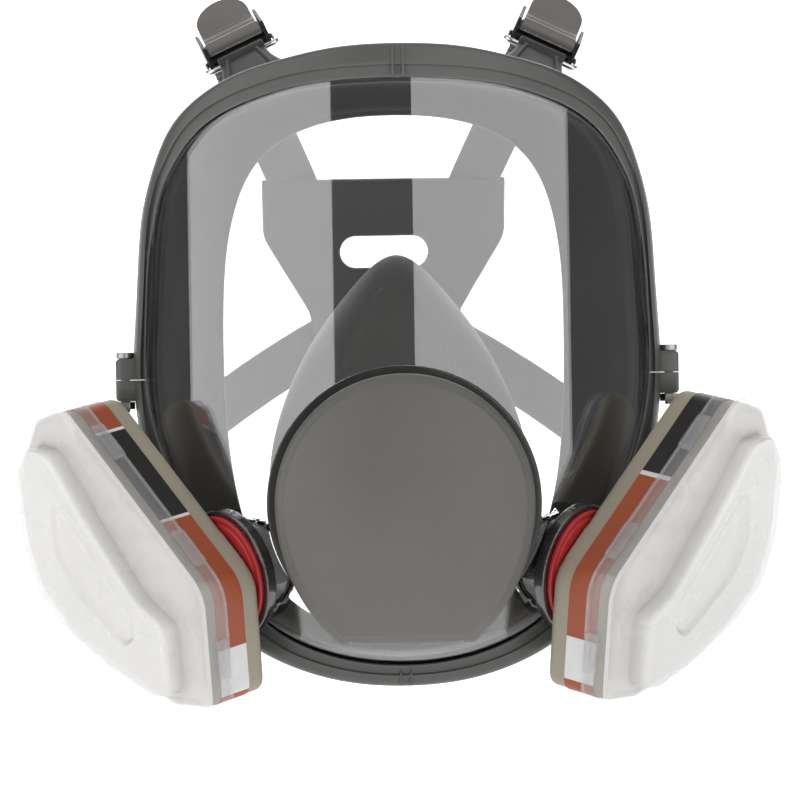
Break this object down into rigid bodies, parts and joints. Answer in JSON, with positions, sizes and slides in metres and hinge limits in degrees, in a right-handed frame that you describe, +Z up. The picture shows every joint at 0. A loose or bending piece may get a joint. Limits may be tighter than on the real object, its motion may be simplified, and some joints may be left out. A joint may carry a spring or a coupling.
{
  "type": "full face respirator",
  "caption": "Full-face respirator: wrap-round lens in a two-part frame, face seal, nose cup, domed centre cover, quarter-turn filter cartridges and a strap harness.",
  "frame": {"origin": "centre of the face opening, in the plane of the seal's side rims", "axes": "+X to the right as seen from the front, the lens faces -Y and the wearer's head lies on +Y, +Z up"},
  "size_m": [0.2514, 0.2647, 0.2344],
  "materials": {
    "clear_lens": "gloss polycarbonate, hard coated",
    "frame_plastic": "satin moulded",
    "steel": "zinc plated",
    "seal_rubber": "satin elastomer",
    "cup_rubber": "satin elastomer",
    "adapter_plastic": "gloss moulded",
    "red_silicone": "satin silicone",
    "diaphragm_film": "thin film in a ring",
    "valve_silicone": "soft silicone flap",
    "cover_plastic": "satin moulded",
    "strap_rubber": "matte rubber",
    "clear_port": "clear moulded plastic",
    "case_plastic": "satin moulded",
    "carbon": "packed granules",
    "label_film": "printed film, plain colour blocks",
    "filter_felt": "non-woven felt",
    "frosted_plastic": "frosted moulded plastic",
    "wire_steel": "bright plated wire",
    "buckle_black": "satin moulded",
    "buckle_grey": "satin moulded"
  },
  "bodies": {
    "root": {"lens": "clear_lens", "frame_upper": "frame_plastic", "frame_lower": "frame_plastic", "frame_screws": "steel", "frame_nuts": "steel", "face_seal": "seal_rubber", "nose_cup": "cup_rubber", "center_adapter": "adapter_plastic", "adapter_gasket": "red_silicone", "adapter_nut": "adapter_plastic", "speaking_diaphragm": "diaphragm_film", "crown_pad": "strap_rubber", "inhalation_port_left": "clear_port", "port_gasket_left": "red_silicone", "buckle_wire_upper_left": "wire_steel", "buckle_body_upper_left": "buckle_black", "strap_upper_left": "strap_rubber", "buckle_wire_lower_left": "wire_steel", "buckle_body_lower_left": "buckle_black", "strap_lower_left": "strap_rubber", "inhalation_port_right": "clear_port", "port_gasket_right": "red_silicone", "buckle_wire_upper_right": "wire_steel", "buckle_body_upper_right": "buckle_black", "strap_upper_right": "strap_rubber", "buckle_wire_lower_right": "wire_steel", "buckle_body_lower_right": "buckle_black", "strap_lower_right": "strap_rubber"},
    "cover": {"adapter_cover": "cover_plastic"},
    "exhalation_flap": {"exhalation_valve": "valve_silicone"},
    "inhalation_flap_left": {"inhalation_valve_left": "valve_silicone"},
    "cartridge_left": {"cartridge_case_left": "case_plastic", "carbon_bed_left": "carbon", "cartridge_lid_left": "case_plastic", "cartridge_label_left": "label_film"},
    "prefilter_cover_left": {"retainer_left": "frosted_plastic", "prefilter_left": "filter_felt"},
    "inhalation_flap_right": {"inhalation_valve_right": "valve_silicone"},
    "cartridge_right": {"cartridge_case_right": "case_plastic", "carbon_bed_right": "carbon", "cartridge_lid_right": "case_plastic", "cartridge_label_right": "label_film"},
    "prefilter_cover_right": {"retainer_right": "frosted_plastic", "prefilter_right": "filter_felt"},
    "lever_upper_left": {"buckle_lever_upper_left": "buckle_grey"},
    "lever_upper_right": {"buckle_lever_upper_right": "buckle_grey"},
    "lever_lower_left": {"buckle_lever_lower_left": "buckle_grey"},
    "lever_lower_right": {"buckle_lever_lower_right": "buckle_grey"}
  },
  "joints": [
    {"name": "cover_pull", "type": "slide", "parent": "root", "child": "cover", "axis": [0, -1, 0], "range_m": [0, 0.0015]},
    {"name": "exhalation_lift", "type": "slide", "parent": "root", "child": "exhalation_flap", "axis": [0, -1, 0], "range_m": [0, 0.0014], "stiffness_N_per_m": 30},
    {"name": "inhalation_lift_left", "type": "slide", "parent": "root", "child": "inhalation_flap_left", "axis": [0.7708, 0.6022, 0.2079], "range_m": [0, 0.0012], "stiffness_N_per_m": 30},
    {"name": "cartridge_twist_left", "type": "hinge", "parent": "root", "child": "cartridge_left", "pos_m": [-0.0575, -0.0892, -0.0654], "axis": [-0.7708, -0.6022, -0.2079], "range_deg": [0, 90]},
    {"name": "retainer_lift_left", "type": "slide", "parent": "cartridge_left", "child": "prefilter_cover_left", "axis": [-0.7708, -0.6022, -0.2079], "range_m": [0, 0.016]},
    {"name": "inhalation_lift_right", "type": "slide", "parent": "root", "child": "inhalation_flap_right", "axis": [-0.7708, 0.6022, 0.2079], "range_m": [0, 0.0012], "stiffness_N_per_m": 30},
    {"name": "cartridge_twist_right", "type": "hinge", "parent": "root", "child": "cartridge_right", "pos_m": [0.0575, -0.0892, -0.0654], "axis": [0.7708, -0.6022, -0.2079], "range_deg": [0, 90]},
    {"name": "retainer_lift_right", "type": "slide", "parent": "cartridge_right", "child": "prefilter_cover_right", "axis": [0.7708, -0.6022, -0.2079], "range_m": [0, 0.016]},
    {"name": "buckle_lift_upper_left", "type": "hinge", "parent": "root", "child": "lever_upper_left", "pos_m": [-0.05256, -0.02848, 0.11055], "axis": [0.9061, -0.0001, 0.423], "range_deg": [0, 42]},
    {"name": "buckle_lift_upper_right", "type": "hinge", "parent": "root", "child": "lever_upper_right", "pos_m": [0.05256, -0.02848, 0.11055], "axis": [0.9061, 0.0001, -0.423], "range_deg": [0, 42]},
    {"name": "buckle_lift_lower_left", "type": "hinge", "parent": "root", "child": "lever_lower_left", "pos_m": [-0.1093, 0.02009, -0.07043], "axis": [-0.5233, -0.2132, 0.825], "range_deg": [0, 42]},
    {"name": "buckle_lift_lower_right", "type": "hinge", "parent": "root", "child": "lever_lower_right", "pos_m": [0.1093, 0.02009, -0.07043], "axis": [-0.5233, 0.2132, -0.825], "range_deg": [0, 42]}
  ]
}
